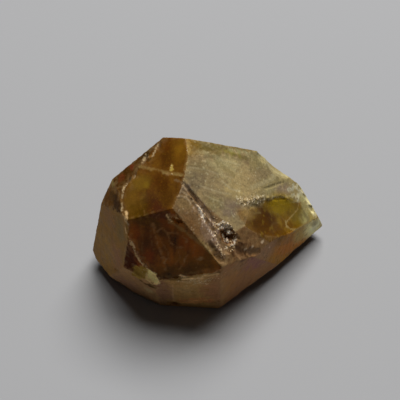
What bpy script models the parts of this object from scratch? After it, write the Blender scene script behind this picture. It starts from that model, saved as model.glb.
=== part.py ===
"""A loose grossular garnet crystal, 41.5 mm wide, as one closed solid in metres with +Z up.

The crystal is cut from a block, one plane for each of its faces. A face is given by the bearing it looks
to (0 is +X, 90 is +Y), its slope (90 looks straight up, -90 straight down) and its distance from the
crystal's centre. Worn edges, scars, the healed cavity and the crumbs on the broken rim are then worked in.
A place on a face is given in millimetres across and up the face, from the foot of the centre's
perpendicular. The finished crystal stands on its rest face, with the origin under the middle of its box.
"""

import math
import random

import bmesh
import bpy
from mathutils import Matrix, Vector

MM = 0.001
ROUGH_BLOCK = 90.0  # side of the block that the faces are cut from
EDGE_WEAR = 0.14  # width of the worn band along each edge
SCAR_LIFT = 0.4  # share of a scar's thickness at which its tool's centre stands above the face
SCAR_REACH = math.sqrt(1 - SCAR_LIFT**2)

# bearing and slope in degrees, distance in millimetres
FACES = {
    # dodecahedral faces that meet at the front corner
    "left_window": (215, 55, 7.9),
    "front_window": (258, 6, 7.9),
    "frosted_band": (310, 34, 4.8),
    "frosted_top": (325, 39, 4.3),
    # narrow faces round them
    "striated_top": (342, 55, 6.2),
    "frosted_shoulder": (333, 33, 5.3),
    "right_window": (330, 29, 5.5),
    "cavity_corner": (321, 24, 5.8),
    "left_bevel": (193, 51, 9.35),
    "left_corner": (198, 34, 11.1),
    "front_corner": (241, -2, 10.7),
    # lower faces, which lean in towards the foot
    "left_side": (214, 4, 12.3),
    "left_foot": (240, -15, 12.8),
    "front_foot": (266, -14, 10.45),
    "right_foot": (308, -10, 10.3),
    "right_belt": (318, -1, 9.7),
    "left_undercut": (217, -41, 21.0),
    "right_undercut": (316, -41, 17.6),
    # the back
    "back_slope": (81, 46, 9.0),
    "back_left_slope": (131, 30, 10.8),
    "back_right_slope": (48, 37, 11.8),
    "left_shoulder": (157, 17, 13.9),
    "left_shoulder_low": (174, 14, 14.9),
    "right_tip_bevel": (20, 26, 15.2),
    "back_wall": (92, 5, 17.6),
    "back_left_wall": (136, -4, 19.4),
    "back_right_wall": (43, -4, 25.2),
    "back_undercut": (100, -42, 20.7),
    "back_left_undercut": (145, -38, 24.0),
    "back_right_undercut": (32, -44, 29.7),
    # the face it rests on
    "rest": (270, -90, 19.4),
}

# Scars: faces that share it, across, up, length, width, depth, turn in degrees, smooth or crumbled
SCARS = [
    # shell-shaped break in the upper right rim
    (("frosted_shoulder", "back_right_slope"), 14.6, -5.2, 8.2, 5.4, 1.0, -62, "smooth"),
    (("frosted_shoulder", "back_right_slope"), 12.1, -1.6, 3.2, 2.0, 0.45, -70, "smooth"),
    # the right window is a shallow shell-shaped break
    (("right_window",), 8.2, -9.6, 19.4, 7.0, 0.45, -38, "smooth"),
    (("right_window", "frosted_shoulder"), 5.6, -6.0, 5.6, 1.3, 0.4, -45, "crumbled"),
    (("frosted_shoulder", "right_window"), 10.6, -9.0, 4.6, 1.2, 0.35, -38, "crumbled"),
    (("frosted_shoulder",), 11.0, -6.5, 7.4, 0.5, 0.13, -26, "smooth"),
    # groove and growth ledges down the frosted faces
    (("frosted_band", "frosted_top"), -2.8, 0.5, 11.0, 0.9, 0.4, -77, "smooth"),
    (("frosted_band",), -3.5, -0.1, 9.0, 0.7, 0.15, -75, "smooth"),
    (("frosted_band",), -2.9, -2.1, 8.6, 0.7, 0.15, -78, "smooth"),
    (("striated_top",), 0.4, 2.2, 9.5, 0.6, 0.14, -14, "smooth"),
    (("striated_top",), 0.8, 0.9, 9.0, 0.6, 0.14, -13, "smooth"),
    # cavity, healed over, and the broken ground round it
    (("frosted_band", "cavity_corner"), -0.3, -5.5, 4.3, 2.6, 1.25, -80, "crumbled"),
    (("frosted_band", "cavity_corner"), 0.6, -6.7, 2.4, 1.8, 0.9, -40, "crumbled"),
    (("frosted_band", "cavity_corner"), -1.8, -6.6, 3.6, 2.0, 0.3, -58, "crumbled"),
    (("frosted_band", "front_window"), -3.3, -7.0, 4.6, 1.5, 0.3, -63, "crumbled"),
    (("cavity_corner",), -0.6, -8.6, 4.6, 2.2, 0.35, -66, "crumbled"),
    (("cavity_corner", "right_foot"), 1.6, -10.0, 4.6, 1.5, 0.35, -39, "crumbled"),
    # fresh pale scar at the lower left of the front window
    (("front_window", "front_corner", "left_foot"), -6.7, -10.4, 5.2, 3.1, 0.85, -38, "smooth"),
    (("front_corner", "left_foot"), -5.7, -9.1, 3.6, 2.0, 0.45, -58, "smooth"),
    # chips along the front window's edges
    (("front_window", "left_side"), -9.6, -1.3, 2.7, 1.0, 0.3, -82, "crumbled"),
    (("front_window", "front_corner"), -9.0, -4.2, 2.6, 0.9, 0.28, -73, "crumbled"),
    (("front_window", "front_corner"), -8.1, -6.5, 1.9, 0.7, 0.24, -69, "crumbled"),
    (("front_window", "front_corner"), -7.1, -8.0, 1.8, 0.7, 0.24, -49, "crumbled"),
    (("front_window", "front_foot"), -3.4, -11.6, 2.2, 0.8, 0.24, 13, "crumbled"),
    (("front_window", "front_foot"), -0.8, -10.6, 2.8, 0.9, 0.28, 27, "crumbled"),
    (("front_window", "front_foot"), 2.2, -8.7, 2.4, 0.8, 0.24, 29, "crumbled"),
    (("front_window", "front_foot"), 4.8, -7.1, 2.6, 1.0, 0.3, 35, "crumbled"),
    (("front_window", "frosted_band"), -2.0, 1.9, 2.2, 0.9, 0.26, -39, "crumbled"),
    (("front_window", "left_window"), -5.4, 3.5, 4.2, 2.2, 0.3, 12, "smooth"),
    # chips along the left bevel
    (("left_bevel", "left_window"), -5.2, 0.6, 3.0, 1.0, 0.28, -40, "crumbled"),
    (("left_bevel", "left_window"), -4.9, -2.4, 1.8, 1.4, 0.3, -48, "crumbled"),
    (("left_bevel", "left_window"), -3.2, -4.8, 1.8, 0.7, 0.22, -43, "crumbled"),
    (("left_bevel", "left_window"), -2.9, -6.5, 2.0, 0.8, 0.26, -66, "crumbled"),
    (("left_corner", "left_window"), -2.3, -4.6, 2.2, 0.9, 0.26, -43, "crumbled"),
    (("left_corner", "left_window"), -0.4, -5.4, 2.6, 1.0, 0.28, -6, "crumbled"),
    # worn tip and right rim
    (("right_belt", "right_window"), 20.0, -13.9, 3.6, 1.6, 0.25, -46, "crumbled"),
    (("right_window", "right_tip_bevel"), 18.3, -13.3, 3.4, 1.4, 0.4, -86, "crumbled"),
    (("right_window", "right_tip_bevel"), 18.0, -15.6, 2.2, 1.2, 0.3, -89, "crumbled"),
    (("frosted_shoulder", "right_tip_bevel"), 17.6, -12.0, 2.6, 1.4, 0.4, -77, "crumbled"),
    # foot
    (("front_foot", "rest"), -4.2, -16.1, 2.6, 1.8, 0.4, -30, "smooth"),
    (("left_foot", "left_undercut"), -10.5, -15.4, 2.4, 1.1, 0.35, -32, "crumbled"),
    (("left_side", "left_foot"), -5.2, -14.3, 2.6, 1.0, 0.28, 53, "crumbled"),
    (("right_foot", "right_undercut"), 4.0, -16.3, 2.6, 1.1, 0.3, 12, "crumbled"),
    (("right_belt", "right_undercut"), 15.0, -16.4, 2.4, 1.0, 0.3, -3, "crumbled"),
    (("right_undercut",), 12.0, -8.5, 5.0, 2.0, 0.3, 0, "smooth"),
    # the back, with one larger shell-shaped break at its low edge
    (("back_slope", "back_wall"), -0.5, -16.9, 9.0, 5.2, 0.9, 17, "smooth"),
    (("back_slope",), 0.0, -5.0, 9.5, 0.9, 0.2, 25, "smooth"),
    (("back_slope",), 0.6, -8.2, 8.0, 0.8, 0.18, 25, "smooth"),
    (("back_slope", "back_left_slope"), 5.8, -4.0, 2.8, 1.2, 0.35, 85, "crumbled"),
    (("back_slope", "back_left_slope"), 5.2, -11.0, 2.0, 0.9, 0.28, 85, "crumbled"),
    (("back_slope", "back_right_slope"), -6.6, -11.0, 3.0, 1.3, 0.4, -82, "crumbled"),
    (("back_left_slope",), 0.0, -8.0, 6.5, 3.6, 0.4, 35, "smooth"),
    (("back_left_slope", "left_shoulder"), 6.0, -10.0, 2.8, 1.2, 0.35, 67, "crumbled"),
    (("back_right_slope",), 0.5, -17.0, 8.0, 0.9, 0.2, -40, "smooth"),
    (("back_wall",), -4.0, -10.0, 3.2, 2.2, 0.5, 20, "crumbled"),
    (("back_left_wall", "back_undercut"), -2.0, -11.6, 2.6, 1.4, 0.4, -36, "crumbled"),
    (("back_right_wall", "back_undercut"), 1.4, -13.7, 2.6, 1.2, 0.35, 44, "crumbled"),
    (("back_undercut",), -4.0, -2.0, 7.0, 3.6, 0.4, -20, "smooth"),
]

# Crumbs, half sunk: face, across, up, depth of the middle, length, width, thickness, turn in degrees
CRUMBS = [
    # broken rim over the right window
    ("frosted_top", 3.4, -3.5, 0.05, 0.9, 0.6, 0.4, -10),
    ("frosted_top", 4.4, -4.0, 0.05, 1.3, 0.8, 0.5, -30),
    ("frosted_shoulder", 5.2, -4.5, 0.05, 1.0, 0.7, 0.5, 10),
    ("frosted_shoulder", 6.0, -5.4, 0.1, 1.3, 0.7, 0.5, -50),
    ("frosted_shoulder", 7.2, -6.0, 0.05, 1.2, 0.8, 0.45, 0),
    ("frosted_shoulder", 8.4, -7.0, 0.05, 1.4, 0.6, 0.4, -40),
    # small crystals in the cavity
    ("frosted_band", -0.8, -4.3, 0.5, 1.1, 0.9, 0.8, 0),
    ("frosted_band", 0.4, -5.4, 0.8, 0.9, 0.8, 0.8, 40),
    ("frosted_band", -0.5, -6.6, 0.7, 1.0, 0.8, 0.7, 80),
    ("frosted_band", 1.0, -7.3, 0.6, 0.8, 0.7, 0.6, 20),
    # loosened grains near the front corner and low on the front
    ("front_window", -1.2, 1.2, 0.1, 0.9, 0.6, 0.5, -40),
    ("front_window", -2.0, -9.9, 0.0, 1.0, 0.6, 0.5, 25),
    ("left_bevel", -4.4, -1.4, 0.1, 1.0, 0.7, 0.5, -45),
    # grains on the back
    ("back_slope", -2.8, -12.0, 0.0, 1.2, 0.8, 0.6, 30),
    ("back_left_slope", -3.2, -12.6, 0.0, 1.4, 1.0, 0.7, -20),
]

PIECE = "garnet_crystal"


def clear_scene():
    for obj in list(bpy.data.objects):
        bpy.data.objects.remove(obj, do_unlink=True)


def new_collection(name):
    collection = bpy.data.collections.new(name)
    bpy.context.scene.collection.children.link(collection)
    return collection


def direction(face):
    """The way a face looks, as a unit vector."""
    bearing, slope, _ = FACES[face]
    flat = math.cos(math.radians(slope))
    return Vector((
        flat * math.cos(math.radians(bearing)),
        flat * math.sin(math.radians(bearing)),
        math.sin(math.radians(slope)),
    ))


def place_on(face, across, up):
    """The point that far across and up a face, in millimetres from the crystal's centre."""
    out = direction(face)
    right = Vector((0, 0, 1)).cross(out).normalized()
    return out * FACES[face][2] + right * across + out.cross(right) * up


def cut_faces(block):
    """Cut the block down to the crystal, one plane a face."""
    for face in FACES:
        out = direction(face)
        geometry = block.verts[:] + block.edges[:] + block.faces[:]
        cut = bmesh.ops.bisect_plane(
            block,
            geom=geometry,
            dist=1e-5,
            plane_co=out * FACES[face][2],
            plane_no=out,
            clear_outer=True,
        )
        rim = [item for item in cut["geom_cut"] if isinstance(item, bmesh.types.BMEdge)]
        bmesh.ops.contextual_create(block, geom=rim)
    bmesh.ops.dissolve_degenerate(block, dist=1e-4, edges=block.edges[:])


def wear_edges(block):
    """Take a narrow band off every edge but those of the rest face."""
    sole = min(vertex.co.z for vertex in block.verts)
    worn = [e for e in block.edges if max(v.co.z for v in e.verts) > sole + 1e-3]
    bmesh.ops.bevel(
        block,
        geom=worn,
        offset=EDGE_WEAR,
        offset_type="WIDTH",
        segments=1,
        affect="EDGES",
        clamp_overlap=True,
    )


def mesh_object(name, shape, collection):
    """A mesh object, in metres, from a shape drawn in millimetres."""
    bmesh.ops.scale(shape, vec=(MM, MM, MM), verts=shape.verts[:])
    bmesh.ops.recalc_face_normals(shape, faces=shape.faces[:])
    mesh = bpy.data.meshes.new(name)
    shape.to_mesh(mesh)
    shape.free()
    obj = bpy.data.objects.new(name, mesh)
    collection.objects.link(obj)
    return obj


def pebble(fineness, roughness, seed):
    """A ball of unit radius with its corners moved in or out by up to the roughness."""
    chance = random.Random(seed)
    ball = bmesh.new()
    bmesh.ops.create_icosphere(ball, subdivisions=fineness, radius=1.0)
    for vertex in ball.verts:
        vertex.co *= 1 + roughness * (2 * chance.random() - 1)
    return ball


def frame_at(out, turn):
    """The turn that lays a tool's length and width in a face, its thickness along the way it looks."""
    right = Vector((0, 0, 1)).cross(out).normalized()
    basis = Matrix((right, out.cross(right), out)).transposed().to_4x4()
    return basis @ Matrix.Rotation(math.radians(turn), 4, "Z")


def scar_tool(index, scar, collection):
    """The flattened ball that takes one scar out of the crystal."""
    faces, across, up, length, width, depth, turn, kind = scar
    out = sum((direction(face) for face in faces), Vector()).normalized()
    thickness = depth / (1 - SCAR_LIFT)
    tool = pebble(3, 0.0, index) if kind == "smooth" else pebble(2, 0.16, index)
    half = Vector((length / 2 / SCAR_REACH, width / 2 / SCAR_REACH, thickness))
    centre = place_on(faces[0], across, up) + out * thickness * SCAR_LIFT
    bmesh.ops.scale(tool, vec=half, verts=tool.verts[:])
    bmesh.ops.transform(tool, matrix=Matrix.Translation(centre) @ frame_at(out, turn), verts=tool.verts[:])
    return mesh_object(f"scar_tool_{index:02d}", tool, collection)


def crumb(index, spec, collection):
    """A small angular grain, half sunk in its face."""
    face, across, up, sunk, length, width, thickness, turn = spec
    out = direction(face)
    grain = pebble(1, 0.22, 100 + index)
    bmesh.ops.scale(grain, vec=(length / 2, width / 2, thickness / 2), verts=grain.verts[:])
    seat = Matrix.Translation(place_on(face, across, up) - out * sunk) @ frame_at(out, turn)
    bmesh.ops.transform(grain, matrix=seat, verts=grain.verts[:])
    return mesh_object(f"crumb_{index:02d}", grain, collection)


def work_in(crystal, operation, tools):
    """Join a collection of shapes to the crystal, or take them out of it."""
    boolean = crystal.modifiers.new(f"{operation.lower()}_{tools.name}", "BOOLEAN")
    boolean.operation = operation
    boolean.operand_type = "COLLECTION"
    boolean.collection = tools
    boolean.solver = "EXACT"


def garnet_material():
    """Honey-brown grossular: glassy where clean, matt where frosted."""
    material = bpy.data.materials.new("grossular_garnet")
    material.use_nodes = True
    shader = material.node_tree.nodes["Principled BSDF"]
    shader.inputs["Base Color"].default_value = (0.19, 0.115, 0.04, 1)
    shader.inputs["Roughness"].default_value = 0.35
    shader.inputs["Metallic"].default_value = 0.0
    shader.inputs["IOR"].default_value = 1.74
    material.diffuse_color = (0.19, 0.115, 0.04, 1)
    return material


def stand_up(crystal, tools):
    """Move the crystal, with its tools, so that it stands on its rest face over the origin."""
    corners = [vertex.co for vertex in crystal.data.vertices]
    low = Vector([min(c[axis] for c in corners) for axis in range(3)])
    high = Vector([max(c[axis] for c in corners) for axis in range(3)])
    lift = Vector((-(low.x + high.x) / 2, -(low.y + high.y) / 2, -low.z))
    for obj in (crystal, *tools):
        obj.data.transform(Matrix.Translation(lift))


clear_scene()
crystal_collection = new_collection("grossular_garnet_crystal")
scar_collection = new_collection("scar_tools")
crumb_collection = new_collection("crumbs")

block = bmesh.new()
bmesh.ops.create_cube(block, size=ROUGH_BLOCK)
cut_faces(block)
wear_edges(block)
crystal = mesh_object(PIECE, block, crystal_collection)
crystal.data.materials.append(garnet_material())

scar_tools = [scar_tool(index, scar, scar_collection) for index, scar in enumerate(SCARS)]
crumbs = [crumb(index, spec, crumb_collection) for index, spec in enumerate(CRUMBS)]
for helper in scar_tools + crumbs:
    helper.hide_render = True
    helper.display_type = "WIRE"
stand_up(crystal, scar_tools + crumbs)
work_in(crystal, "DIFFERENCE", scar_collection)
work_in(crystal, "UNION", crumb_collection)
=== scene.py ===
import math

import bmesh
import bpy
import numpy as np
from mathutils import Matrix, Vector, noise


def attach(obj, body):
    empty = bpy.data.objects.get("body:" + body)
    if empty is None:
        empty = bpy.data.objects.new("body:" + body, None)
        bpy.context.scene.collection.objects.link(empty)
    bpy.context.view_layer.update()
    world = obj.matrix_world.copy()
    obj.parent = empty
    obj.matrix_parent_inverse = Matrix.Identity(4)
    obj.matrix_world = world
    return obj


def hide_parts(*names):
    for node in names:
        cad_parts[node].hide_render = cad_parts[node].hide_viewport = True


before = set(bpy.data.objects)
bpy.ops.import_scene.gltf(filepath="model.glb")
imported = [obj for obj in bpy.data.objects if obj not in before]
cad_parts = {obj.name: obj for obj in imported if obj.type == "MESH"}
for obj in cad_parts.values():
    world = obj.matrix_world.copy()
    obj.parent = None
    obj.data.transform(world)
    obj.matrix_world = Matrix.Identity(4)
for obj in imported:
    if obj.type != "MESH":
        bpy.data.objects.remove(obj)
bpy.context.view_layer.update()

# The crystal: one grown piece of grossular garnet, calcium aluminium silicate coloured honey brown by iron.
# It grew as a blunt dodecahedron, was etched on some faces and chipped along its edges after it came loose.
# Its surface is cut into fine cells, so that every face can be given its own relief and finish.
MM = 0.001
CENTRE = np.array([-1.79, -4.93, 19.4])  # the point that the faces' distances are measured from, in mm
# bearing and slope in degrees, distance in mm
FACES = {
    "left_window": (215, 55, 7.9),
    "front_window": (258, 6, 7.9),
    "frosted_band": (310, 34, 4.8),
    "frosted_top": (325, 39, 4.3),
    "striated_top": (342, 55, 6.2),
    "frosted_shoulder": (333, 33, 5.3),
    "right_window": (330, 29, 5.5),
    "cavity_corner": (321, 24, 5.8),
    "left_bevel": (193, 51, 9.35),
    "left_corner": (198, 34, 11.1),
    "front_corner": (241, -2, 10.7),
    "left_side": (214, 4, 12.3),
    "left_foot": (240, -15, 12.8),
    "front_foot": (266, -14, 10.45),
    "right_foot": (308, -10, 10.3),
    "right_belt": (318, -1, 9.7),
    "left_undercut": (217, -41, 21.0),
    "right_undercut": (316, -41, 17.6),
    "back_slope": (81, 46, 9.0),
    "back_left_slope": (131, 30, 10.8),
    "back_right_slope": (48, 37, 11.8),
    "left_shoulder": (157, 17, 13.9),
    "left_shoulder_low": (174, 14, 14.9),
    "right_tip_bevel": (20, 26, 15.2),
    "back_wall": (92, 5, 17.6),
    "back_left_wall": (136, -4, 19.4),
    "back_right_wall": (43, -4, 25.2),
    "back_undercut": (100, -42, 20.7),
    "back_left_undercut": (145, -38, 24.0),
    "back_right_undercut": (32, -44, 29.7),
    "rest": (270, -90, 19.4),
}
NAMES = list(FACES)


def direction(face):
    """The way a face looks, as a unit vector."""
    bearing, slope, _ = (math.radians(value) for value in FACES[face])
    flat = math.cos(slope)
    return np.array([flat * math.cos(bearing), flat * math.sin(bearing), math.sin(slope)])


cells = bmesh.new()
cells.from_mesh(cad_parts["garnet_crystal"].data)
bmesh.ops.remove_doubles(cells, verts=cells.verts[:], dist=1e-7)
crystal_mesh = bpy.data.meshes.new("grossular_crystal")
cells.to_mesh(crystal_mesh)
cells.free()
crystal = bpy.data.objects.new("grossular_crystal", crystal_mesh)
bpy.context.scene.collection.objects.link(crystal)
fine = crystal.modifiers.new("fine_cells", "REMESH")
fine.mode = "SHARP"
fine.octree_depth = 8
fine.scale = 0.72
fine.sharpness = 1.0
fine.use_remove_disconnected = False
graph = bpy.context.evaluated_depsgraph_get()
fine_mesh = bpy.data.meshes.new_from_object(crystal.evaluated_get(graph))
crystal.modifiers.clear()
crystal.data = fine_mesh
fine_mesh.name = "grossular_crystal"

count = len(fine_mesh.vertices)
flat = np.empty(count * 3, np.float32)
fine_mesh.vertices.foreach_get("co", flat)
spots = flat.reshape(-1, 3).astype(float) / MM - CENTRE
outward = np.array([direction(face) for face in NAMES])
reach = np.array([FACES[face][2] for face in NAMES])
clearance = spots @ outward.T - reach
order = np.argsort(-clearance, axis=1)
member = order[:, 0]
rows = np.arange(count)
depth = -clearance[rows, member]  # below the grown face: over zero inside a scar
edge_gap = clearance[rows, member] - clearance[rows, order[:, 1]]


def on(*faces):
    """1 on those faces and 0 elsewhere."""
    return np.isin(member, [NAMES.index(face) for face in faces]).astype(float)


def grain(size, seed, octaves=3, squash=(1, 1, 1)):
    """Fractal noise about 0, with an even spread of 1 and features of that size in mm."""
    shift = Vector((seed * 7.31, seed * 3.17, seed * 5.73))
    scaled = spots / np.array(squash) / size
    values = np.array([noise.fractal(Vector(p) + shift, 1.0, 2.0, octaves) for p in scaled])
    return np.clip((values - values.mean()) / values.std(), -2.5, 2.5)


def smooth(value, low, high):
    """0 below low, 1 above high, and an even slope between."""
    t = np.clip((value - low) / (high - low), 0, 1)
    return t * t * (3 - 2 * t)


coarse = grain(1.1, 1)
small = grain(0.45, 2, 2)
broad = grain(3.5, 3)
ragged = grain(0.8, 4)
fleck = grain(0.3, 5, 1)


def on_face(face):
    """How far each point lies across and up a face and out from it, in mm."""
    out = direction(face)
    right = np.cross([0, 0, 1], out)
    right /= np.linalg.norm(right)
    return spots @ right, spots @ np.cross(out, right), spots @ out - FACES[face][2]


def patch(face, across, up, length, width, turn=0, soft=0.6, rag=0.3):
    """1 in an oval on a face, in mm and degrees, fading out over its rim, with a ragged outline."""
    x, y, out = on_face(face)
    angle = math.radians(turn)
    along = (x - across) * math.cos(angle) + (y - up) * math.sin(angle)
    side = (y - up) * math.cos(angle) - (x - across) * math.sin(angle)
    ring = np.hypot(2 * along / length, 2 * side / width) + rag * 0.4 * ragged
    return (1 - smooth(ring, 1 - soft / 2, 1 + soft / 2)) * (np.abs(out) < 2.5)


def stroke(face, width, *stops, rag=0.3):
    """1 on a line drawn on a face through its stops (across, up), in mm, falling to 0 at its sides."""
    x, y, out = on_face(face)
    here = np.stack([x, y], axis=1)
    best = np.full(count, 1e9)
    for a, b in zip(stops[:-1], stops[1:]):
        a, b = np.array(a, float), np.array(b, float)
        t = np.clip((here - a) @ (b - a) / ((b - a) @ (b - a)), 0, 1)
        best = np.minimum(best, np.linalg.norm(here - a - t[:, None] * (b - a), axis=1))
    edge = best / (width / 2) + rag * 0.4 * ragged
    return (1 - smooth(edge, 0.4, 1.3)) * (np.abs(out) < 2.0)


def growth_bars(face, lean, spacing, sway, shake):
    """Waves across a face, from -1 to 1: lean in radians, spacing in mm, and how far noise bends them."""
    x, y, _ = on_face(face)
    phase = (y * math.cos(lean) + x * math.sin(lean)) * 2 * math.pi / spacing
    return np.sin(phase + sway * broad + shake * coarse)


def linear(hex_colour):
    """An sRGB hex colour as linear red, green and blue."""
    channels = [int(hex_colour[i : i + 2], 16) / 255 for i in (1, 3, 5)]
    return tuple(c / 12.92 if c <= 0.04045 else ((c + 0.055) / 1.055) ** 2.4 for c in channels)


# Each face's finish: its colour, how much light passes through it, its roughness, and how mottled it is.
# The clean faces are polished windows a few microns smooth, and the etched ones are matt like ground glass.
FINISH = {
    "left_window": ("#80531C", 0.45, 0.08, 0.25),
    "front_window": ("#A46110", 0.4, 0.1, 0.35),
    "right_window": ("#906612", 0.35, 0.15, 0.3),
    "front_corner": ("#853B03", 0.05, 0.3, 0.3),
    "frosted_band": ("#94744E", 0.15, 0.5, 0.5),
    "frosted_top": ("#9E8962", 0.15, 0.5, 0.4),
    "striated_top": ("#7A6A42", 0.15, 0.42, 0.4),
    "frosted_shoulder": ("#A59564", 0.2, 0.45, 0.45),
    "cavity_corner": ("#8C6840", 0.2, 0.4, 0.5),
    "left_bevel": ("#50320F", 0.1, 0.3, 0.5),
    "left_corner": ("#613C07", 0.1, 0.3, 0.5),
    "left_side": ("#AD7F3F", 0.05, 0.45, 0.4),
    "left_foot": ("#B4895D", 0.05, 0.45, 0.4),
    "front_foot": ("#BC9158", 0.05, 0.4, 0.4),
    "right_foot": ("#A67750", 0.05, 0.5, 0.3),
    "right_belt": ("#B87C1E", 0.15, 0.35, 0.4),
    "right_tip_bevel": ("#A89C64", 0.1, 0.4, 0.25),
    "back_slope": ("#8C7440", 0.4, 0.4, 0.2),
    "back_left_slope": ("#8C5C1C", 0.3, 0.4, 0.12),
    "back_right_slope": ("#9C844C", 0.4, 0.4, 0.2),
    "left_shoulder": ("#7C5420", 0.25, 0.4, 0.15),
    "left_shoulder_low": ("#84602C", 0.25, 0.4, 0.15),
    "back_wall": ("#84581C", 0.45, 0.3, 0.12),
    "back_left_wall": ("#7C4A14", 0.45, 0.3, 0.12),
    "back_right_wall": ("#8C6830", 0.4, 0.4, 0.15),
    "left_undercut": ("#8C6438", 0.3, 0.45, 0.2),
    "right_undercut": ("#8C6034", 0.3, 0.45, 0.2),
    "back_undercut": ("#80582C", 0.3, 0.45, 0.2),
    "back_left_undercut": ("#80582C", 0.3, 0.45, 0.2),
    "back_right_undercut": ("#886034", 0.3, 0.45, 0.2),
    "rest": ("#886438", 0.05, 0.55, 0.4),
}
finish = [FINISH[face] for face in NAMES]
skin = np.array([linear(entry[0]) for entry in finish])[member]
clear, rough, mottle = (np.array([entry[i] for entry in finish])[member] for i in (1, 2, 3))
frost = smooth(rough, 0.15, 0.4)
lift = frost * (0.010 * coarse + 0.007 * small) + 0.004 * broad


def paint(weight, hex_colour, see_through=None, roughness=None):
    """Turns the surface towards a colour, and towards a clearness and roughness, by the weight."""
    skin[:] += weight[:, None] * (np.array(linear(hex_colour)) - skin)
    if see_through is not None:
        clear[:] += weight * (see_through - clear)
    if roughness is not None:
        rough[:] += weight * (roughness - rough)


# The frosted faces: the side that was etched, matt all over, tan to olive, with growth lines and ledges.
# Dissolving left them slightly pitted, and iron in the last layers left soft zones of colour in them.
drawn_out = grain(1.2, 8, 3, (1, 1, 1))
for face, across, up, length, width, turn, colour, weight in (
    ("frosted_top", 4.9, 2.6, 6.5, 3.4, -42, "#C8B880", 0.7),
    ("frosted_top", 5.6, -1.4, 9.0, 5.5, -40, "#B8A16E", 0.9),
    ("frosted_top", 3.4, -1.6, 3.6, 2.4, -40, "#B8A16B", 0.7),
    ("frosted_top", 0.9, -3.0, 5.0, 2.4, -35, "#8E7A64", 0.8),
    ("frosted_top", -2.4, 4.1, 3.5, 3.0, 0, "#837255", 0.8),
    ("frosted_top", -1.3, -0.5, 4.0, 2.0, -45, "#8E8155", 0.6),
    ("frosted_top", 0.4, 5.0, 5.0, 1.6, -35, "#968359", 0.6),
    ("frosted_shoulder", 13.0, -8.9, 5.0, 2.0, -30, "#9D8770", 0.8),
    ("frosted_shoulder", 8.9, -6.6, 4.0, 1.6, -30, "#A99B6C", 0.6),
    ("frosted_shoulder", 9.6, -3.2, 6.0, 2.4, -30, "#998360", 0.6),
    ("frosted_band", -5.6, -1.6, 4.0, 2.0, -75, "#8A6339", 0.7),
    ("frosted_band", -5.4, 2.2, 2.6, 2.2, -60, "#A18557", 0.7),
    ("frosted_band", -3.9, 3.9, 1.6, 1.2, -60, "#998576", 0.7),
    ("frosted_band", -3.3, -4.6, 3.6, 2.2, -75, "#9A7E68", 0.6),
):
    paint(patch(face, across, up, length, width, turn, 0.95, 0.4) * weight, colour)
for across, up, length in ((16.4, -10.8, 2.2), (17.2, -12.5, 1.8), (15.4, -12.2, 1.2), (14.6, -10.2, 1.4)):
    paint(patch("frosted_shoulder", across, up, length, 1.0, -60, 0.9, 1.5) * 0.8, "#D3CDAA")
paint(stroke("frosted_shoulder", 0.9, (6.2, -3.1), (8.3, -4.1), (10.5, -5.1), (12.6, -5.8)) * 0.6, "#C8B888")
for width, weight, stops in (
    (0.3, 0.5, ((2.2, 1.2), (2.9, -0.7), (4.2, -2.0))),
    (0.25, 0.4, ((2.6, 6.4), (3.5, 4.7), (5.4, 2.8), (7.2, 1.0))),
    (0.25, 0.35, ((-1.8, 6.4), (0.6, 4.4), (2.4, 2.4), (4.4, 0.4))),
    (0.3, 0.35, ((-2.0, 3.2), (-0.6, 1.6), (0.6, 0.2), (2.4, -1.4))),
    (0.25, 0.35, ((-2.2, 1.8), (-1.4, 0.4), (0.2, -1.6))),
):
    paint(stroke("frosted_top", width, *stops) * weight, "#CABC94")
pale_pits = smooth(fleck + 0.5 * drawn_out, 1.5, 2.4) * 0.5
paint(on("frosted_top", "frosted_shoulder", "striated_top") * pale_pits, "#DACEA2")
dark_pits = smooth(-fleck - 0.4 * drawn_out, 1.7, 2.4) * 0.3
paint(on("frosted_top", "frosted_shoulder", "frosted_band") * dark_pits, "#564828")
paint(on("frosted_band") * smooth(fleck + 0.5 * drawn_out, 1.6, 2.4) * 0.5, "#D7C2A0")
# lower side: growth arcs beside the corner, and the groove with its pale lip; its shaded far wall is painted
# light and a painted shade runs along its floor
for stops in (
    ((-5.7, 4.5), (-4.8, 3.8), (-4.0, 2.7), (-3.8, 1.8)),
    ((-6.3, 3.8), (-5.2, 3.3), (-4.5, 2.5), (-4.3, 1.6)),
    ((-5.4, 4.9), (-4.6, 4.4), (-3.9, 3.6)),
):
    line = stroke("frosted_band", 0.35, *stops, rag=0.6) * on("frosted_band")
    paint(line * 0.6, "#C4AC88")
    lift += 0.03 * line
groove = ((-3.9, 5.6), (-3.5, 3.8), (-3.1, 1.8), (-2.7, -0.2), (-2.1, -2.4), (-1.4, -4.0))
# painted light: the groove's far wall lies in shade, so it is painted pale
shaded_wall_painted_light = stroke("frosted_band", 0.9, *[(across + 0.4, up) for across, up in groove], rag=0.1)
paint(shaded_wall_painted_light * smooth(depth, 0.0, 0.06) * 0.75, "#F0CFA6", 0.0)
# painted shade: a thin dark line along the groove's floor
paint(stroke("frosted_band", 0.3, *groove) * 0.6, "#503A1C")
pale_side = ((-4.4, 5.5), (-4.1, 4.1), (-3.9, 2.2), (-3.5, 0.2), (-3.2, -1.8), (-2.9, -4.0))
paint(stroke("frosted_band", 0.4, *pale_side, rag=1.2) * 0.4, "#B89E76")
hoar = stroke("frosted_band", 1.5, (-3.2, 0.6), (-2.9, -2.0), (-2.6, -4.6), (-2.6, -7.2), rag=1.5)
paint(hoar * 0.6, "#A48A78")
paint(hoar * smooth(fleck, 0.7, 1.4) * 0.9, "#FCE8D0", 0.1, 0.3)
paint(hoar * smooth(-fleck, 0.8, 1.6) * 0.7, "#4C3420")
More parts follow.
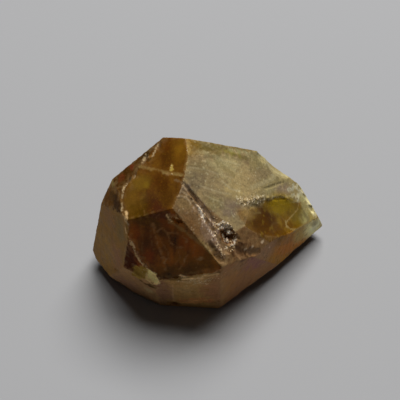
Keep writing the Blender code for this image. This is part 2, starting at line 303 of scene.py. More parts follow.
# growth lines along the top, a little over half a millimetre apart
bars = growth_bars("striated_top", 0.24, 0.62, 0.7, 0.5)
lift += on("striated_top") * 0.018 * bars
paint(on("striated_top") * smooth(bars + 0.3 * ragged, 0.3, 1.2) * 0.35, "#968860")
paint(on("striated_top") * smooth(-bars + 0.3 * ragged, 0.3, 1.2) * 0.35, "#564420")
for face, width, weight, colour, stops in (
    ("striated_top", 0.9, 0.6, "#64521E", ((2.4, 6.8), (2.8, 5.5), (3.7, 3.8), (4.4, 2.1))),
    ("striated_top", 0.7, 0.6, "#A8986C", ((1.4, 5.7), (2.7, 4.1), (3.5, 2.2), (4.1, 0.4))),
    ("striated_top", 1.2, 0.55, "#70622A", ((4.9, 3.7), (5.5, 2.1), (6.6, -0.4), (7.8, -1.8))),
    ("striated_top", 0.8, 0.6, "#8E8438", ((5.8, 1.6), (6.7, 0.1), (7.2, -0.8))),
    ("striated_top", 0.8, 0.5, "#A49C70", ((6.7, 0.9), (7.8, -0.7), (9.2, -2.9))),
    ("frosted_top", 0.8, 0.5, "#B8A878", ((1.9, 5.3), (2.7, 3.3), (3.3, 0.3))),
    ("frosted_top", 0.9, 0.4, "#7E7044", ((2.9, 5.6), (3.9, 3.2), (4.9, 0.8))),
    ("frosted_top", 0.7, 0.4, "#C4B684", ((3.8, 4.5), (4.7, 2.8), (5.7, 0.7))),
):
    paint(stroke(face, width, *stops, rag=0.9) * weight, colour)
bars = growth_bars("frosted_top", 0.75, 0.9, 1.0, 0.6)
paint(on("frosted_top") * smooth(bars + 0.3 * ragged, 0.6, 1.4) * 0.25, "#BCAD79")
lift += on("frosted_top") * 0.010 * bars

# The windows: clean growth faces that let light into the honey-brown inside, which is cloudy and unevenly
# coloured. Amber zones, a dark core, drawn-out darker streaks and healed cracks show through them.
streaks = grain(0.8, 6, 3, (1, 1, 5))
cloud = grain(1.8, 7, 3)
wisps = grain(0.7, 9, 3)
swirls = np.sin(2.2 * cloud + 1.6 * grain(1.1, 10, 2))
paint(on("left_window") * smooth(cloud, 0.2, 1.6) * 0.45, "#543110")
paint(on("left_window") * smooth(-cloud, 0.2, 1.6) * 0.35, "#9A6B20")
paint(on("front_window") * smooth(streaks, 0.0, 1.3) * 0.6, "#4C2B03")
paint(on("front_window") * smooth(-streaks + 0.4 * cloud, 0.6, 1.8) * 0.5, "#C6751C")
paint(on("right_window") * smooth(cloud, 0.2, 1.6) * 0.4, "#663906")
paint(on("right_window") * smooth(-cloud, 0.2, 1.6) * 0.4, "#AB821B")
for face, across, up, length, width, turn, colour, weight in (
    ("left_window", -3.7, 3.8, 6.0, 4.4, -35, "#9A6B19", 0.6),
    ("left_window", -3.9, 4.1, 2.4, 1.6, -35, "#A87920", 0.6),
    ("left_window", -5.6, 4.4, 3.4, 1.6, -10, "#804E19", 0.5),
    ("left_window", -4.6, -4.0, 3.4, 2.6, 45, "#9A7628", 0.8),
    ("left_window", -3.6, -6.8, 4.4, 2.6, -35, "#8E6724", 0.8),
    ("left_window", -1.9, -5.4, 2.8, 1.4, -40, "#A58131", 0.7),
    ("left_window", -3.4, -3.6, 1.2, 0.9, 0, "#B08B28", 0.6),
    ("left_window", -4.1, 1.7, 4.0, 2.4, -40, "#5F3810", 0.7),
    ("left_window", -1.2, -1.8, 4.4, 2.4, -20, "#623810", 0.7),
    ("left_window", -6.3, 3.4, 3.6, 1.6, -35, "#713C10", 0.6),
    ("left_window", 0.2, -5.2, 6.4, 3.6, -20, "#653D20", 0.8),
    ("left_window", 0.6, -4.9, 3.4, 1.8, -10, "#59301F", 0.7),
    ("left_window", 1.0, -2.6, 2.6, 2.4, 0, "#6A4314", 0.6),
    ("front_window", -6.0, 1.2, 6.5, 3.6, 10, "#67480A", 0.8),
    ("front_window", -4.4, 2.4, 3.6, 2.0, 0, "#6A361D", 0.8),
    ("front_window", -8.2, -1.8, 1.4, 3.4, 0, "#9B4A08", 0.7),
    ("front_window", -6.1, -4.2, 2.2, 9.0, 4, "#572F06", 0.75),
    ("front_window", -3.6, -3.4, 1.2, 7.0, 6, "#73450B", 0.5),
    ("front_window", -2.3, -2.4, 1.5, 2.8, 0, "#472905", 0.85),
    ("front_window", -4.3, -1.2, 1.3, 2.2, 8, "#432804", 0.7),
    ("front_window", -0.4, -2.4, 2.4, 3.0, 0, "#AE580E", 0.6),
    ("front_window", 1.4, -4.4, 2.4, 3.0, 0, "#B26113", 0.6),
    ("front_window", -6.2, -6.0, 1.8, 2.4, 0, "#A44A08", 0.6),
    ("front_window", -3.4, 0.9, 2.6, 1.4, -20, "#A4540E", 0.6),
    ("front_window", -2.9, -8.6, 5.5, 2.4, 10, "#6E4808", 0.6),
    ("front_window", -0.9, -5.6, 2.4, 3.4, 0, "#865C13", 0.5),
    ("front_window", 2.6, -5.6, 4.8, 3.4, 35, "#7F5608", 0.7),
    ("front_window", 0.2, -7.6, 7.0, 2.6, 12, "#5A3F03", 0.6),
    ("front_window", -2.6, -10.0, 6.0, 1.6, 6, "#432C03", 0.7),
    ("right_window", 5.6, -8.6, 7.4, 5.2, -40, "#502A02", 0.95),
    ("right_window", 7.0, -12.6, 5.0, 4.0, -35, "#704604", 0.85),
    ("right_window", 11.2, -9.4, 7.4, 3.6, -38, "#9C8014", 0.95),
    ("right_window", 8.4, -7.6, 3.4, 2.2, -38, "#846002", 0.8),
    ("right_window", 1.8, -4.9, 1.9, 4.0, 20, "#7C5620", 0.7),
    ("right_window", 14.4, -14.2, 5.4, 3.4, -40, "#8C7424", 0.85),
    ("right_window", 16.2, -16.4, 4.6, 3.4, -55, "#C8BC78", 0.9),
    ("frosted_shoulder", 16.4, -14.4, 2.2, 3.4, 0, "#D0C888", 0.7),
    ("right_window", 3.8, -5.8, 4.8, 2.0, -38, "#B89450", 0.75),
):
    ragged_rim = 0.35 if face == "front_window" else 0.1
    paint(patch(face, across, up, length, width, turn, 0.95, ragged_rim) * weight, colour)
paint(patch("right_window", 4.8, -8.6, 5.4, 4.2, -40, 0.95, 0.05) * 0.9, "#5A3604", 0.1)
paint(on("right_window") * smooth(streaks + 0.6 * cloud, 0.4, 1.8) * 0.35, "#5A3C08")
paint(on("right_window") * smooth(-streaks + 0.6 * wisps, 0.6, 2.0) * 0.3, "#A48828")
paint(patch("right_window", 11.0, -9.4, 6.6, 2.8, -38, 0.8, 0.1) * 0.7, "#9C7E10", 0.2)
paint(on("left_window", "front_window") * smooth(np.abs(swirls), 0.35, 0.0) * 0.25, "#A6781B")
for face, width, weight, stops in (
    (
        "front_window",
        0.5,
        0.85,
        ((-5.5, 0.4), (-5.2, -1.5), (-4.8, -3.4), (-4.3, -5.3), (-3.9, -6.9), (-3.6, -8.5)),
    ),
    ("front_window", 0.25, 0.4, ((-5.9, 0.4), (-5.9, -2.4), (-5.4, -5.2))),
    ("front_window", 0.25, 0.3, ((-7.4, 0.4), (-7.2, -3.4), (-7.4, -6.0))),
    (
        "front_window",
        0.35,
        0.8,
        ((-3.2, -1.1), (-2.6, -0.7), (-1.5, -0.8), (-0.2, -1.7), (-0.7, -3.2), (-2.0, -3.6)),
    ),
    ("front_window", 0.3, 0.8, ((-2.0, -3.6), (-2.9, -2.6), (-3.2, -1.1), (-4.1, -0.1), (-4.9, -1.1))),
    ("front_window", 0.3, 0.7, ((0.2, -3.6), (-0.4, -5.3), (-0.7, -6.4), (-1.5, -8.0))),
    ("front_window", 0.3, 0.6, ((-1.1, 1.5), (0.0, 0.4), (1.1, -1.0), (2.2, -2.4))),
    ("front_window", 0.25, 0.6, ((-1.6, -4.2), (-1.3, -5.4), (-2.0, -6.8), (-1.8, -8.0))),
    ("front_window", 0.25, 0.5, ((1.0, -2.6), (0.7, -4.2), (1.4, -5.8), (1.2, -7.0))),
    ("front_window", 0.25, 0.6, ((-4.9, -1.1), (-4.2, -3.0), (-3.2, -4.6), (-3.0, -6.6))),
    ("front_window", 0.25, 0.5, ((-7.0, 2.0), (-6.2, 1.2), (-5.2, 1.4), (-4.4, 2.4))),
):
    paint(stroke(face, width, *stops, rag=0.8) * smooth(wisps, -1.6, 0.2) * weight, "#B08048")
# healed cracks: thin pale veils that reach the surface
for face, width, weight, stops in (
    (
        "left_window",
        0.5,
        0.45,
        ((-7.1, -2.3), (-5.2, -1.4), (-3.4, -0.5), (-2.4, -0.2), (-1.3, 0.4), (0.4, 1.3)),
    ),
    ("left_window", 0.25, 0.5, ((-2.6, -0.5), (-1.2, 0.3), (0.5, 1.2))),
    ("left_window", 0.4, 0.4, ((-3.3, 5.5), (-2.0, 4.6), (-0.8, 3.4), (0.0, 2.0))),
    ("right_window", 0.3, 0.85, ((10.6, -12.6), (10.2, -13.4), (10.8, -14.4), (12.1, -15.6))),
    ("right_window", 0.3, 0.8, ((10.6, -12.8), (12.7, -13.1), (14.7, -13.2), (15.6, -12.3))),
    ("right_window", 0.35, 0.9, ((11.0, -15.3), (13.0, -15.9), (14.9, -16.5), (16.9, -17.2))),
    ("right_window", 0.3, 0.3, ((3.0, -4.9), (4.4, -6.2), (5.9, -7.2))),
    ("right_window", 0.3, 0.12, ((8.6, -9.0), (9.6, -10.4), (10.6, -12.4))),
    ("right_window", 0.3, 0.1, ((6.0, -10.8), (7.4, -10.6), (9.4, -11.8))),
    ("front_window", 0.7, 0.5, ((-2.9, 1.4), (-0.6, -0.2), (1.7, -1.9), (3.6, -3.5))),
):
    paint(stroke(face, width, *stops, rag=0.8) * weight, "#B89C5C", 0.3)
paint(patch("left_window", -2.1, 0.9, 1.0, 0.5, -35, 0.9, 2.0) * 0.9, "#EAC961", 0.4)
for face, across, up in (
    ("left_window", -1.5, 0.1),
    ("front_window", -3.7, -6.6),
    ("front_window", -0.7, -6.0),
    ("front_window", 1.5, -5.1),
    ("front_window", 2.0, -5.0),
    ("front_window", -3.2, 2.1),
    ("front_window", -2.9, 1.6),
    ("front_window", -2.1, 2.4),
):
    paint(patch(face, across, up, 0.8, 0.4, 60, 0.9, 1.5) * 0.7, "#A88454", 0.2)

# The lower faces: duller growth faces that were never etched deeply, brown and slightly greasy to the eye.
# The belt under the tip is the reddest, and the faces by the foot carry a purplish matt film.
for face, across, up, length, width, turn, colour, weight in (
    ("right_belt", 12.6, -13.6, 9.0, 3.4, -30, "#C5761E", 0.8),
    ("right_belt", 11.1, -11.2, 6.0, 1.6, -30, "#9D6D32", 0.6),
    ("right_belt", 5.0, -8.8, 7.0, 5.0, -30, "#A87E58", 0.9),
    ("right_belt", 16.0, -13.2, 5.0, 3.4, -35, "#C4A458", 0.85),
    ("right_belt", 20.6, -14.4, 7.4, 5.2, -45, "#FFF4AC", 0.95),
    ("right_belt", 20.6, -14.7, 3.0, 2.0, 0, "#FFFAC8", 0.9),
    ("right_window", 17.4, -16.6, 2.6, 1.8, 60, "#CDB45F", 0.8),
    ("right_window", 18.0, -16.8, 1.3, 0.6, 60, "#F3D890", 0.9),
    ("right_foot", 5.5, -8.4, 8.0, 4.0, -30, "#996865", 0.7),
    ("right_foot", 0.4, -6.6, 3.4, 3.4, 0, "#AE895F", 0.7),
    ("right_foot", -1.2, -11.0, 4.4, 9.0, 0, "#AE7C4B", 0.7),
    ("front_foot", -5.6, -12.0, 3.0, 8.0, 0, "#9D7258", 0.9),
    ("front_foot", -1.9, -10.8, 3.0, 2.4, 0, "#BC9662", 0.7),
    ("front_foot", 3.4, -10.6, 5.0, 8.0, 0, "#A5704E", 0.75),
    ("front_foot", 0.0, -14.6, 6.0, 1.8, 8, "#D68B52", 0.7),
    ("front_foot", -1.2, -15.6, 3.6, 0.6, 8, "#FFBA77", 0.4),
    ("left_foot", -4.4, -12.2, 2.0, 1.6, 0, "#C7AD7C", 0.7),
    ("left_foot", -9.0, -13.6, 5.0, 4.0, 20, "#A67B64", 0.6),
    ("left_side", -5.2, -11.1, 4.0, 6.0, 0, "#B07B5A", 0.6),
    ("left_side", -3.6, -3.5, 2.4, 5.0, 0, "#987F4A", 0.6),
    ("left_side", -8.6, -11.5, 5.0, 6.0, 0, "#B88D4A", 0.6),
    ("left_side", -7.6, -3.4, 4.0, 4.0, 0, "#AA7B4E", 0.6),
    ("left_corner", -1.7, -6.6, 4.5, 1.8, -10, "#3C2406", 0.9),
    ("left_corner", -4.6, -6.6, 2.2, 1.6, -10, "#4C330B", 0.7),
    ("left_corner", -6.6, -5.6, 1.8, 1.2, 0, "#9C8749", 0.7),
    ("left_corner", -3.8, -4.8, 2.4, 0.6, -15, "#8D6325", 0.6),
    ("left_bevel", -5.3, -4.8, 1.3, 0.9, 0, "#74301C", 0.6),
    ("left_bevel", -4.9, -7.2, 1.6, 1.2, 0, "#6C3418", 0.6),
    ("left_bevel", -5.8, -1.6, 3.0, 1.0, -60, "#34240C", 0.7),
    ("front_corner", -7.0, -7.2, 2.8, 9.0, 0, "#481E05", 0.9),
):
    ragged_rim = 0.1 if face == "right_belt" else 0.4
    paint(on(face) * patch(face, across, up, length, width, turn, 0.9, ragged_rim) * weight, colour)
foot_gap = np.abs(on_face("front_foot")[2] - on_face("right_foot")[2])
paint(on("front_foot") * smooth(foot_gap, 1.8, 0.0) * 0.55, "#9C7050")
paint(on("right_foot") * smooth(foot_gap, 1.4, 0.0) * 0.45, "#B08A5C")
lower = on("right_belt", "right_foot", "front_foot", "left_foot", "left_side")
paint(lower * smooth(streaks, 0.4, 1.8) * 0.16, "#70481C")
paint(lower * smooth(-streaks, 0.4, 1.8) * 0.16, "#AC8848")
paint(stroke("front_foot", 0.3, (-3.8, -9.2), (-4.0, -13.3), (-3.8, -16.0)) * 0.4, "#E1B687")
paint(stroke("front_foot", 0.25, (-1.6, -15.0), (0.4, -14.7), (1.6, -14.2), rag=1.0) * 0.5, "#FFD08C")

# The scars: chips along the edges where fresh garnet breaks pale, the lined cavity, and the broken rim.
# A fresh break scatters light from many tiny steps, so it looks almost white beside the clear faces. The
# chips on the shaded front faces are painted paler than those on the lit left faces: painted light.
scar = smooth(depth, 0.03, 0.10)
smooth_break = on("right_window", "frosted_shoulder", "right_undercut")
rough_scar = scar * (1 - smooth_break)
lift += rough_scar * (0.014 * small + 0.010 * coarse)
paint(rough_scar * 0.25, "#A88860", 0.25, 0.5)
for face, width, stops in (
    ("left_bevel", 0.25, ((-6.0, 1.0), (-5.6, 0.4), (-4.9, -0.2), (-4.6, -0.7))),
    ("left_bevel", 0.55, ((-5.4, -2.0), (-5.2, -2.4), (-4.8, -2.8))),
    ("left_window", 0.25, ((-7.0, -0.4), (-6.5, -0.1), (-6.5, 0.4))),
    ("left_window", 0.3, ((-6.6, -3.9), (-6.4, -4.1))),
    ("left_bevel", 0.25, ((-3.1, -5.5), (-3.1, -6.3), (-2.6, -6.8))),
    ("left_bevel", 0.4, ((-2.6, -7.1), (-1.8, -7.5), (-1.2, -8.0))),
    ("left_bevel", 0.25, ((-0.2, -8.4), (1.3, -8.9))),
    ("left_window", 0.4, ((-3.3, -9.2), (-2.2, -9.3), (-1.5, -9.7))),
    ("front_window", 0.6, ((-9.9, 0.7), (-9.9, -0.2))),
    ("front_window", 0.3, ((-10.1, -1.5), (-9.9, -2.5))),
    ("front_window", 0.5, ((-9.2, -3.9), (-8.6, -5.0))),
    ("front_window", 0.3, ((-8.6, -5.4), (-8.4, -6.5), (-7.9, -7.4), (-7.4, -8.1), (-6.6, -8.8))),
    ("front_window", 0.45, ((-1.0, -10.2), (0.1, -9.9), (1.0, -9.8), (1.8, -9.4), (2.8, -8.6))),
    ("front_foot", 0.3, ((0.8, -6.5), (2.2, -5.2), (3.6, -4.4))),
    ("front_window", 0.2, ((-3.5, 3.0), (-3.3, 2.3), (-3.0, 1.8), (-2.5, 1.3))),
    ("front_window", 0.2, ((-3.4, 1.5), (-2.9, 1.8), (-2.4, 2.3))),
    ("front_window", 0.2, ((-2.2, 2.1), (-1.9, 1.9))),
    ("front_window", 0.5, ((-1.2, -9.2), (-0.5, -9.4))),
):
    line = stroke(face, width, *stops, rag=0.8)
    # painted light: paler on the shaded front faces, duller on the lit left faces
    paint(line * smooth(fleck, -1.6, 0.0), "#F4CC90" if face.startswith("front") else "#B49C74", 0.05, 0.45)
    lift += line * 0.008 * small
# painted glints: a band of pale specks below the bottom break
spray = patch("front_window", 1.2, -10.9, 3.6, 1.6, 15, 0.9, 0.8)
paint(spray * smooth(fleck, 0.5, 1.3) * 0.8, "#D8C090")
# the yellow break low on the left: bright where it is fresh, olive where it runs into the edge
paint(patch("front_window", -6.4, -10.7, 3.7, 2.7, -48, 0.25, 0.3), "#FFD890", 0.0, 0.4)
paint(patch("front_window", -6.2, -10.5, 2.4, 1.7, -48, 0.9, 0.8) * 0.9, "#FFEC9C", 0.0)
paint(patch("front_window", -8.2, -10.9, 2.3, 4.2, -30, 0.3, 0.3), "#AC883C", 0.05, 0.3)
paint(patch("front_window", -6.4, -13.5, 2.8, 1.0, -10, 0.6, 0.8) * 0.85, "#382306")
# the cavity: painted shade inside, darker where it sinks deeper, and painted glints in near white on and
# around its lip
in_cavity = patch("frosted_band", -0.4, -5.4, 4.4, 2.9, -75, 0.4, 0.5)
# painted shade in the hollow, growing with depth
paint(in_cavity * smooth(depth, 0.05, 0.3), "#6E4828", 0.1, 0.25)
for width, stops in (
    (0.6, ((-1.5, -3.3), (-0.6, -3.5), (0.3, -4.0))),
    (0.5, ((-1.1, -3.9), (-0.2, -4.4), (0.5, -5.0))),
    (0.35, ((0.1, -5.2), (0.4, -5.9))),
    (0.4, ((-0.7, -5.6), (-0.6, -6.6))),
    (0.4, ((1.1, -6.9), (0.3, -7.4), (-0.4, -7.5), (-1.2, -7.4))),
    (0.3, ((-3.2, 0.4), (-3.2, -0.6), (-3.1, -1.8))),
):
    line = stroke("frosted_band", width, *stops, rag=1.0)
    # painted glints: near-white flecks for the sparkle in and around the cavity
    paint(line * smooth(fleck, -1.3, -0.3), "#FFF4E0", 0.0, 0.3)
broken_ground = patch("cavity_corner", -0.6, -8.6, 4.6, 3.4, -55, 0.7, 0.8)
paint(broken_ground * 0.65, "#5A3820", 0.1)
paint(broken_ground * smooth(wisps + 0.5 * fleck, 0.6, 1.4) * 0.7, "#A07C54")
paint(patch("frosted_band", -3.4, -6.2, 3.2, 1.2, -60, 0.8, 1.2) * smooth(fleck, -0.2, 0.6) * 0.8, "#5A4024")
for across, up in ((4.5, -10.0), (5.9, -12.3), (0.5, -8.8), (2.0, -9.4)):
    paint(patch("cavity_corner", across, up, 0.6, 0.45, 0, 0.9, 1.0) * 0.9, "#E8CCA4")
# the broken rim over the right window
rim = stroke("frosted_top", 1.4, (3.3, -3.6), (5.2, -4.3), (6.4, -5.1), (8.2, -5.8), rag=1.0)
paint(rim * smooth(fleck, 0.6, 1.3) * 0.9, "#F4E4C0", 0.15)
paint(rim * smooth(-fleck, 0.4, 1.2) * 0.8, "#4C381C")
lift += rim * 0.02 * fleck
sill_line = ((6.9, -5.8), (9.1, -7.1), (11.5, -8.8), (13.8, -10.3), (15.8, -11.7))
sill = stroke("right_window", 0.5, *sill_line, rag=1.0)
paint(sill * smooth(ragged, -1.0, 0.5) * 0.7, "#4C3410")
lip = stroke("frosted_shoulder", 0.4, (8.3, -7.0), (10.4, -8.4), (12.6, -10.0), (15.4, -12.0), rag=1.0)
paint(lip * smooth(fleck, -0.4, 0.8) * 0.6, "#DCD0A0")

# painted highlight: a pale yellow streak along the tip's edge
tip_edge_highlight = patch("right_window", 18.5, -15.4, 5.0, 2.0, -86, 0.5, 0.2)
paint(tip_edge_highlight * 0.75, "#F8ECB0", 0.0)

# where splinters still stand: thick in the cavity and its rim, thinner along the breaks
glint = in_cavity * 0.08 + hoar * smooth(fleck, -0.6, 0.8) * 0.5 + rim * 0.6 + spray * 0.4
glint += 0.4 * patch("front_window", -6.3, -10.6, 3.5, 2.5, -48, 0.3, 0.5)
for face, width, weight, stops in (
    ("frosted_band", 1.1, 1.0, ((-1.6, -3.2), (-0.6, -3.6), (0.6, -4.6))),
    ("frosted_band", 0.8, 1.0, ((1.2, -6.7), (0.3, -7.4), (-0.5, -7.6), (-1.3, -7.3))),
    ("frosted_band", 0.7, 0.8, ((0.1, -5.1), (0.4, -6.0))),
    ("frosted_band", 0.7, 0.8, ((-0.7, -5.6), (-0.6, -6.7))),
    ("frosted_band", 0.9, 0.8, ((-2.6, -4.4), (-2.7, -6.3), (-2.5, -7.6))),
    ("frosted_band", 0.7, 0.5, ((-3.3, 1.6), (-3.2, 0.0), (-3.0, -2.2))),
    ("front_window", 0.7, 1.0, ((-1.6, -10.8), (-0.5, -11.0), (1.0, -10.1), (2.4, -8.8))),
    ("front_foot", 1.4, 0.5, ((0.3, -7.6), (1.8, -7.0), (3.7, -5.2))),
    ("front_window", 0.6, 0.8, ((-9.2, -3.9), (-8.6, -5.0))),
    ("front_window", 0.4, 0.6, ((-8.6, -5.4), (-8.4, -6.5), (-7.9, -7.4), (-7.4, -8.1), (-6.6, -8.8))),
    ("front_window", 0.6, 0.9, ((-1.3, -9.1), (-0.4, -9.4))),
    ("front_window", 0.3, 0.1, ((-3.4, 2.8), (-2.9, 1.4), (-2.0, 2.0))),
    ("left_window", 0.8, 0.6, ((-2.6, 1.1), (-1.3, 0.3))),
):
    glint = glint + weight * stroke(face, width, *stops, rag=1.0)

# The hidden sides: the same growth faces as in front, half frosted, with zones of colour and worn edges.
BACK = [face for face in NAMES if face.startswith("back") or face.endswith("undercut") or face == "rest"]
back = on("left_shoulder", "left_shoulder_low", *BACK)
paint(back * smooth(cloud, 0.0, 2.2) * 0.45, "#5C3C14")
paint(back * smooth(-cloud, 0.0, 2.2) * 0.4, "#A8803C")
paint(back * smooth(streaks, 0.5, 2.0) * 0.25, "#4C300C")
bars = growth_bars("back_slope", -0.44, 0.8, 0.8, 0)
paint(on("back_slope") * smooth(bars + 0.3 * ragged, 0.4, 1.2) * 0.35, "#B8A468")
lift += on("back_slope") * 0.015 * bars
for face, across, up, length, width, turn, colour, weight in (
    ("back_left_slope", 1.0, 1.0, 9.0, 5.0, 30, "#A87418", 0.8),
    ("back_left_slope", -4.0, -4.0, 7.0, 4.0, 10, "#502C10", 0.8),
    ("back_wall", 2.0, 2.0, 8.0, 5.0, 40, "#A06818", 0.7),
    ("back_wall", -5.0, -3.0, 7.0, 5.0, 0, "#4C2C0C", 0.8),
    ("back_left_wall", 0.0, 1.0, 7.0, 5.0, 0, "#9C6014", 0.7),
    ("back_slope", 3.0, 2.0, 8.0, 5.0, 30, "#A89458", 0.6),
):
    paint(back * patch(face, across, up, length, width, turn, 0.9, 0.4) * weight, colour)
for face, width, weight, stops in (
    ("back_left_slope", 0.4, 0.5, ((-8.0, 4.0), (-3.0, 1.5), (2.0, 0.5), (7.0, -2.0))),
    ("back_wall", 0.4, 0.45, ((-7.0, 4.0), (-2.0, 1.0), (3.0, -3.0), (6.0, -7.0))),
    ("back_left_wall", 0.35, 0.45, ((-3.0, 5.0), (-1.0, 0.0), (0.5, -6.0))),
):
    paint(back * stroke(face, width, *stops, rag=1.0) * weight, "#BC9058")
paint(on("back_slope") * smooth(edge_gap, 1.6, 0.2) * 0.7, "#6C5428", 0.1)
front_edge = on("back_right_slope") * (1 - smooth(np.abs(on_face("frosted_shoulder")[2]), 0.4, 2.4))
paint(front_edge * 0.9, "#BCB080", 0.1)
near_edge = 1 - smooth(edge_gap, 0.12, 0.4 + 0.1 * np.maximum(ragged, 0))
worn = near_edge * smooth(ragged, -1.2, 1.0) * (1 - scar)
paint(worn * (0.2 + 0.25 * back), "#B89864", 0.15, 0.5)
lift -= 0.03 * worn
lift[on("rest") > 0] = 0

normals = np.empty(count * 3, np.float32)
fine_mesh.vertices.foreach_get("normal", normals)
moved = spots + normals.reshape(-1, 3) * (lift - 0.03)[:, None]
moved[:, 2] = np.maximum(moved[:, 2], -CENTRE[2])
fine_mesh.vertices.foreach_set("co", ((moved + CENTRE) * MM).astype(np.float32).ravel())


def store(name, values):
    """Keeps a number for each vertex under that name, for the material to read."""
    layer = fine_mesh.attributes.new(name, "FLOAT", "POINT")
    layer.data.foreach_set("value", values.astype(np.float32))


store("clear", np.clip(clear, 0, 1))
store("rough", np.clip(rough, 0.03, 1))
store("mottle", mottle)
store("glint", np.clip(glint, 0, 1))
colour_layer = fine_mesh.attributes.new("skin", "FLOAT_COLOR", "POINT")
colour_layer.data.foreach_set("color", np.c_[np.clip(skin, 0, 1), np.ones(count)].astype(np.float32).ravel())
fine_mesh.update()


def add(tree, kind, links=(), values=(), **settings):
    """A node of that kind: its settings, its sockets' values by name, and what feeds its sockets."""
    node = tree.nodes.new(kind)
    for key, value in settings.items():
        setattr(node, key, value)
    for socket, value in values:
        node.inputs[socket].default_value = value
    for socket, source in links:
        tree.links.new(source, node.inputs[socket])
    return node


# Grossular garnet as a material: its refractive index is 1.74, and light loses its blue on the way through.
# Its frosted skin scatters light from grains of about 0.2 mm. The gloss is set far below the mineral's own,
# because a broad soft light would lay a grey veil over the dark faces.
garnet = bpy.data.materials.new("grossular_garnet")
garnet.use_nodes = True
tree = garnet.node_tree
tree.nodes.clear()
place = add(tree, "ShaderNodeTexCoord").outputs["Object"]
clear_out = add(tree, "ShaderNodeAttribute", attribute_name="clear").outputs["Fac"]
rough_out = add(tree, "ShaderNodeAttribute", attribute_name="rough").outputs["Fac"]
mottle_out = add(tree, "ShaderNodeAttribute", attribute_name="mottle").outputs["Fac"]
skin_out = add(tree, "ShaderNodeAttribute", attribute_name="skin").outputs["Color"]
BLOTCHES_PER_M = 900  # each about 1.1 mm across
GRAINS_PER_M = 4500  # each about 0.2 mm across
patches = add(
    tree,
    "ShaderNodeTexNoise",
    [("Vector", place)],
    [("Scale", BLOTCHES_PER_M), ("Detail", 4), ("Roughness", 0.6)],
)
grains = add(tree, "ShaderNodeTexNoise", [("Vector", place)], [("Scale", GRAINS_PER_M), ("Detail", 2)])
dimmer = add(
    tree,
    "ShaderNodeMapRange",
    [("Value", patches.outputs["Fac"])],
    [("From Min", 0.3), ("From Max", 0.7), ("To Min", 0.55), ("To Max", 1.45)],
)
sparkle = add(
    tree,
    "ShaderNodeMapRange",
    [("Value", grains.outputs["Fac"])],
    [("From Min", 0.3), ("From Max", 0.7), ("To Min", 0.6), ("To Max", 1.4)],
)
shade = add(
    tree,
    "ShaderNodeMath",
    [(0, dimmer.outputs["Result"]), (1, sparkle.outputs["Result"])],
    operation="MULTIPLY",
)
mottled = add(
    tree,
    "ShaderNodeMix",
    [(0, mottle_out), (7, shade.outputs["Value"]), (6, skin_out)],
    data_type="RGBA",
    blend_type="MULTIPLY",
)
roughness = add(
    tree,
    "ShaderNodeMath",
    [(0, rough_out), (1, dimmer.outputs["Result"])],
    operation="MULTIPLY",
)
GRAIN_RELIEF = 0.06 * MM
bump = add(
    tree,
    "ShaderNodeBump",
    [("Height", grains.outputs["Fac"]), ("Strength", rough_out)],
    [("Distance", GRAIN_RELIEF)],
)
shader = add(
    tree,
    "ShaderNodeBsdfPrincipled",
    [
        ("Base Color", mottled.outputs[2]),
        ("Roughness", roughness.outputs["Value"]),
        ("Transmission Weight", clear_out),
        ("Normal", bump.outputs["Normal"]),
    ],
    [("IOR", 1.74), ("Specular IOR Level", 0.01), ("Specular Tint", (0.15, 0.13, 0.1, 1))],
)
body = add(tree, "ShaderNodeVolumeAbsorption", (), [("Color", (0.92, 0.68, 0.06, 1)), ("Density", 220)])
add(
    tree,
    "ShaderNodeOutputMaterial",
    [("Surface", shader.outputs["BSDF"]), ("Volume", body.outputs["Volume"])],
)
fine_mesh.materials.clear()
fine_mesh.materials.append(garnet)
for polygon in fine_mesh.polygons:
    polygon.use_smooth = True

# The splinters: grains of garnet up to 0.4 mm across that the breaks left standing on the crystal itself.
# Each is a sharp-edged crumb of the same mineral, almost white where it is fresh, and catches the light.
splinter = bpy.data.materials.new("fresh_garnet_break")
splinter.use_nodes = True
for socket, value in (("Base Color", (*linear("#F6DAA6"), 1)), ("Roughness", 0.2), ("IOR", 1.74)):
    splinter.node_tree.nodes["Principled BSDF"].inputs[socket].default_value = value
strew = bpy.data.node_groups.new("strewn_splinters", "GeometryNodeTree")
strew.interface.new_socket("Geometry", in_out="INPUT", socket_type="NodeSocketGeometry")
for name, kind in (
    ("Grains per m2", "Float"),
    ("Apart", "Float"),
    ("Smallest", "Float"),
    ("Largest", "Float"),
    ("Seed", "Int"),
):
    strew.interface.new_socket(name, in_out="INPUT", socket_type="NodeSocket" + kind)
strew.interface.new_socket("Geometry", in_out="OUTPUT", socket_type="NodeSocketGeometry")
start = add(strew, "NodeGroupInput").outputs
share = add(strew, "GeometryNodeInputNamedAttribute", (), [("Name", "glint")], data_type="FLOAT")
points = add(
    strew,
    "GeometryNodeDistributePointsOnFaces",
    [
        ("Mesh", start["Geometry"]),
        ("Distance Min", start["Apart"]),
        ("Density Max", start["Grains per m2"]),
        ("Density Factor", share.outputs["Attribute"]),
        ("Seed", start["Seed"]),
    ],
    distribute_method="POISSON",
)
ball = add(strew, "GeometryNodeMeshIcoSphere", (), [("Radius", 1.0), ("Subdivisions", 1)])
crumb = add(strew, "GeometryNodeSetMaterial", [("Geometry", ball.outputs["Mesh"])], [("Material", splinter)])
FULL_TURN = 6.28
spin = add(
    strew,
    "FunctionNodeRandomValue",
    [("Seed", start["Seed"])],
    [(1, (FULL_TURN, FULL_TURN, FULL_TURN))],
    data_type="FLOAT_VECTOR",
)
width = add(
    strew,
    "FunctionNodeRandomValue",
    [(2, start["Smallest"]), (3, start["Largest"]), ("Seed", start["Seed"])],
    data_type="FLOAT",
)
fuller = add(
    strew,
    "ShaderNodeMath",
    [(0, share.outputs["Attribute"])],
    [(1, 0.9), (2, 0.6)],
    operation="MULTIPLY_ADD",
)
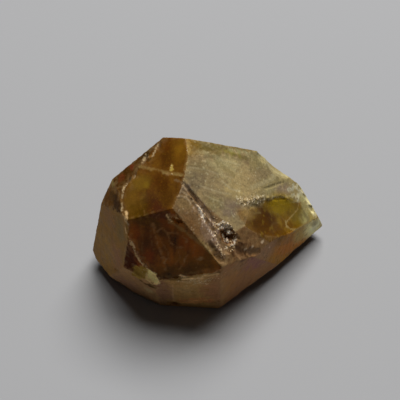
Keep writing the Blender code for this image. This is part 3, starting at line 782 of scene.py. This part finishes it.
scaled = add(
    strew,
    "ShaderNodeMath",
    [(0, width.outputs[1]), (1, fuller.outputs["Value"])],
    operation="MULTIPLY",
)
FLATTENED = (1.0, 0.8, 0.55)
shape = add(
    strew,
    "ShaderNodeVectorMath",
    [("Scale", scaled.outputs["Value"])],
    [(0, FLATTENED)],
    operation="SCALE",
)
crumbs = add(
    strew,
    "GeometryNodeInstanceOnPoints",
    [
        ("Points", points.outputs["Points"]),
        ("Instance", crumb.outputs["Geometry"]),
        ("Rotation", spin.outputs[0]),
        ("Scale", shape.outputs["Vector"]),
    ],
)
mark = add(
    strew,
    "GeometryNodeStoreNamedAttribute",
    [("Geometry", crumbs.outputs["Instances"])],
    [("Name", "broken")],
    data_type="BOOLEAN",
    domain="INSTANCE",
)
for socket in mark.inputs:
    if socket.name == "Value" and socket.type == "BOOLEAN":
        socket.default_value = True
joined = add(strew, "GeometryNodeJoinGeometry", [("Geometry", start["Geometry"])])
strew.links.new(mark.outputs["Geometry"], joined.inputs["Geometry"])
real = add(strew, "GeometryNodeRealizeInstances", [("Geometry", joined.outputs["Geometry"])])
marked = add(strew, "GeometryNodeInputNamedAttribute", (), [("Name", "broken")], data_type="BOOLEAN")
dressed = add(
    strew,
    "GeometryNodeSetMaterial",
    [("Geometry", real.outputs["Geometry"]), ("Selection", marked.outputs["Attribute"])],
    [("Material", splinter)],
)
add(strew, "NodeGroupOutput", [("Geometry", dressed.outputs["Geometry"])])
strewn = crystal.modifiers.new("strewn_splinters", "NODES")
strewn.node_group = strew
settings = {"Grains per m2": 2.0e7, "Apart": 0.2 * MM, "Smallest": 0.05 * MM, "Largest": 0.13 * MM, "Seed": 4}
for item in strew.interface.items_tree:
    if item.in_out == "INPUT" and item.name in settings:
        strewn[item.identifier] = settings[item.name]
graph = bpy.context.evaluated_depsgraph_get()
strewn_mesh = bpy.data.meshes.new_from_object(crystal.evaluated_get(graph))
crystal.modifiers.clear()
crystal.data = strewn_mesh
for index in reversed(range(len(strewn_mesh.materials))):
    if strewn_mesh.materials[index] is None:
        strewn_mesh.materials.pop(index=index)
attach(crystal, "root")
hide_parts("garnet_crystal")

# The table: a sheet of pale matt paper, 3 m wide, so that it fills the frame behind the crystal.
# It is plain and rough, so it shows a soft shadow and no reflection.
bpy.ops.mesh.primitive_plane_add(size=3)
floor = bpy.context.object
floor.name = "floor"
paper = bpy.data.materials.new("pale_matt_paper")
paper.use_nodes = True
paper.node_tree.nodes["Principled BSDF"].inputs["Base Color"].default_value = (*linear("#9C9C9D"), 1)
paper.node_tree.nodes["Principled BSDF"].inputs["Roughness"].default_value = 0.9
floor.data.materials.append(paper)

# The light: one soft panel, 0.75 by 0.6 m, above and behind the crystal and a little to its right.
# A dim, even room fills the side that the panel doesn't reach.
panel = bpy.data.lights.new("soft_panel", "AREA")
panel.shape = "RECTANGLE"
panel.size = 0.75
panel.size_y = 0.6
panel.energy = 18.4
lamp = bpy.data.objects.new("soft_panel", panel)
bpy.context.scene.collection.objects.link(lamp)
lamp.location = (0.15, 0.4, 1.05)
lamp.rotation_euler = (Vector((0, 0, 0)) - lamp.location).to_track_quat("-Z", "Y").to_euler()
room = bpy.data.worlds.new("room")
bpy.context.scene.world = room
room.use_nodes = True
room.node_tree.nodes["Background"].inputs["Color"].default_value = (1, 1, 1, 1)
room.node_tree.nodes["Background"].inputs["Strength"].default_value = 0.03

# The camera: looks down at the crystal from the front, 43 degrees above the table and 108 mm away.
# The crystal fills a little over half of the frame's width.
target = Vector(CENTRE) * MM
raised = math.radians(43)
stand_off = 108 * MM
camera_data = bpy.data.cameras.new("camera")
camera_data.lens = 62.1
camera_data.sensor_width = 36
camera_data.clip_start = 0.001
camera = bpy.data.objects.new("camera", camera_data)
bpy.context.scene.collection.objects.link(camera)
camera.location = target + stand_off * Vector((0, -math.cos(raised), math.sin(raised)))
camera.rotation_euler = (target - camera.location).to_track_quat("-Z", "Y").to_euler()
bpy.context.scene.camera = camera
bpy.context.scene.view_settings.view_transform = "Standard"
